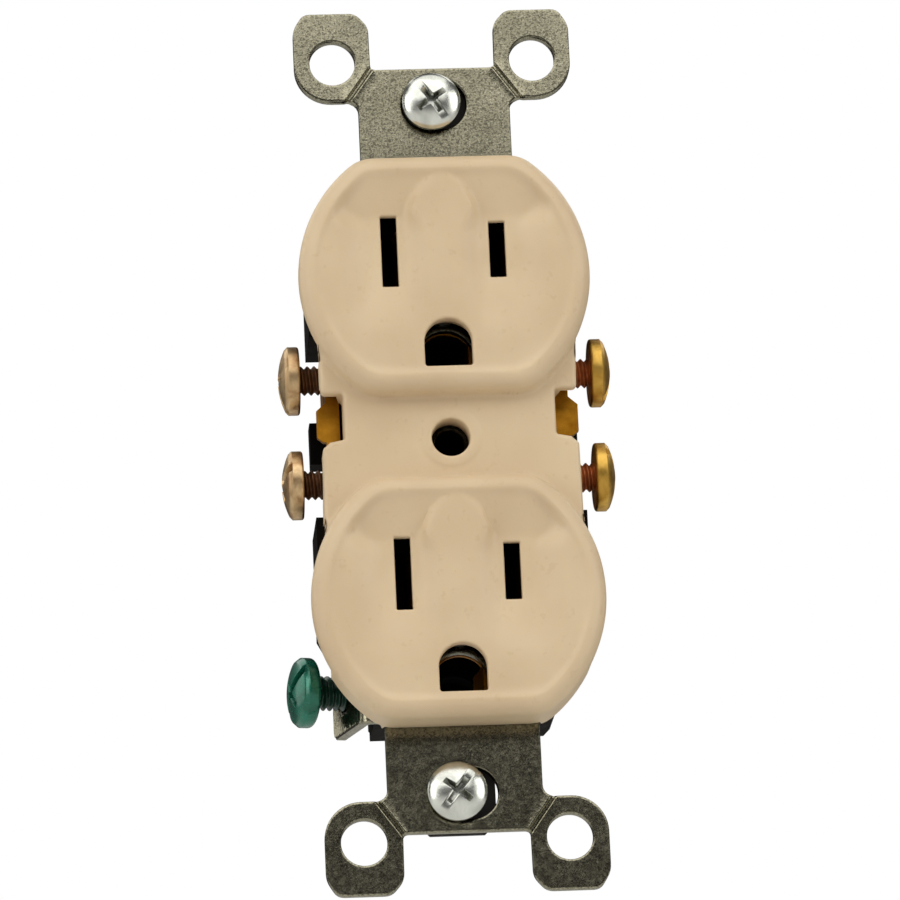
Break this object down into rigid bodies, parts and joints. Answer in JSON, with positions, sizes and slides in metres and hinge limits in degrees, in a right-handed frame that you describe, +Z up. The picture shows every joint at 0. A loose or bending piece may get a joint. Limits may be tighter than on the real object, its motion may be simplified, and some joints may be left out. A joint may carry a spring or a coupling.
{
  "type": "duplex wall outlet",
  "caption": "Flush duplex wall outlet: two three-slot faces on a steel mounting strap with plaster ears, side wire terminals and a black back body.",
  "frame": {"origin": "on the axis of the tapped hole for the wall plate's screw, in the rear plane of the mounting strap", "axes": "+Z up along the strap, -Y out of the wall towards the plug, +X to the right as seen from the room"},
  "size_m": [0.0395, 0.0306, 0.1066],
  "materials": {
    "ivory_plastic": "semi-gloss moulded",
    "black_plastic": "matt moulded",
    "galvanised_steel": "dull galvanised",
    "brass_strip": "rolled",
    "plain_steel": "satin",
    "zinc_steel": "bright zinc",
    "brass_screw": "polished",
    "nickel_screw": "warm nickel plate",
    "green_screw": "dyed green, glossy",
    "black_fibre": "vulcanised fibre",
    "spring_steel": "satin"
  },
  "bodies": {
    "housing": {"face_cover": "ivory_plastic", "back_body": "black_plastic", "mounting_strap": "galvanised_steel", "hot_bus": "brass_strip", "neutral_bus": "brass_strip", "upper_ground_contact": "brass_strip", "lower_ground_contact": "brass_strip", "upper_ground_rivet": "plain_steel", "lower_ground_rivet": "plain_steel", "upper_assembly_screw": "zinc_steel", "lower_assembly_screw": "zinc_steel"},
    "upper_hot_screw": {"upper_hot_screw": "brass_screw"},
    "upper_neutral_screw": {"upper_neutral_screw": "nickel_screw"},
    "lower_hot_screw": {"lower_hot_screw": "brass_screw"},
    "lower_neutral_screw": {"lower_neutral_screw": "nickel_screw"},
    "ground_screw": {"ground_screw": "green_screw"},
    "upper_screw_retainer": {"upper_screw_retainer": "black_fibre"},
    "upper_mounting_screw": {"upper_mounting_screw": "zinc_steel"},
    "lower_screw_retainer": {"lower_screw_retainer": "black_fibre"},
    "lower_mounting_screw": {"lower_mounting_screw": "zinc_steel"},
    "upper_hot_wire_spring": {"upper_hot_wire_spring": "spring_steel"},
    "upper_neutral_wire_spring": {"upper_neutral_wire_spring": "spring_steel"},
    "lower_hot_wire_spring": {"lower_hot_wire_spring": "spring_steel"},
    "lower_neutral_wire_spring": {"lower_neutral_wire_spring": "spring_steel"}
  },
  "joints": [
    {"name": "upper_hot_screw_travel", "type": "slide", "parent": "housing", "child": "upper_hot_screw", "axis": [1, 0, 0], "range_m": [-0.0026, 0]},
    {"name": "upper_neutral_screw_travel", "type": "slide", "parent": "housing", "child": "upper_neutral_screw", "axis": [-1, 0, 0], "range_m": [-0.0026, 0]},
    {"name": "lower_hot_screw_travel", "type": "slide", "parent": "housing", "child": "lower_hot_screw", "axis": [1, 0, 0], "range_m": [-0.0026, 0]},
    {"name": "lower_neutral_screw_travel", "type": "slide", "parent": "housing", "child": "lower_neutral_screw", "axis": [-1, 0, 0], "range_m": [-0.0026, 0]},
    {"name": "ground_screw_travel", "type": "slide", "parent": "housing", "child": "ground_screw", "axis": [-0.9659, -0.2588, 0], "range_m": [-0.0036, 0]},
    {"name": "upper_slot_travel", "type": "slide", "parent": "housing", "child": "upper_screw_retainer", "axis": [1, 0, 0], "range_m": [-0.0016, 0.0024]},
    {"name": "upper_mounting_screw_travel", "type": "slide", "parent": "upper_screw_retainer", "child": "upper_mounting_screw", "axis": [0, 1, 0], "range_m": [-0.0115, 0.0006]},
    {"name": "lower_slot_travel", "type": "slide", "parent": "housing", "child": "lower_screw_retainer", "axis": [1, 0, 0], "range_m": [-0.001, 0.003]},
    {"name": "lower_mounting_screw_travel", "type": "slide", "parent": "lower_screw_retainer", "child": "lower_mounting_screw", "axis": [0, 1, 0], "range_m": [-0.0115, 0.0006]},
    {"name": "upper_hot_wire_spring_bend", "type": "hinge", "parent": "housing", "child": "upper_hot_wire_spring", "pos_m": [0.008, 0.0186, 0.0095], "axis": [0, 0, 1], "range_deg": [-14, 0], "stiffness_Nm_per_rad": 0.03, "springref_deg": 6},
    {"name": "upper_neutral_wire_spring_bend", "type": "hinge", "parent": "housing", "child": "upper_neutral_wire_spring", "pos_m": [-0.008, 0.0186, 0.0095], "axis": [0, 0, 1], "range_deg": [0, 14], "stiffness_Nm_per_rad": 0.03, "springref_deg": -6},
    {"name": "lower_hot_wire_spring_bend", "type": "hinge", "parent": "housing", "child": "lower_hot_wire_spring", "pos_m": [0.008, 0.0186, -0.0038], "axis": [0, 0, 1], "range_deg": [-14, 0], "stiffness_Nm_per_rad": 0.03, "springref_deg": 6},
    {"name": "lower_neutral_wire_spring_bend", "type": "hinge", "parent": "housing", "child": "lower_neutral_wire_spring", "pos_m": [-0.008, 0.0186, -0.0038], "axis": [0, 0, 1], "range_deg": [0, 14], "stiffness_Nm_per_rad": 0.03, "springref_deg": -6}
  ]
}
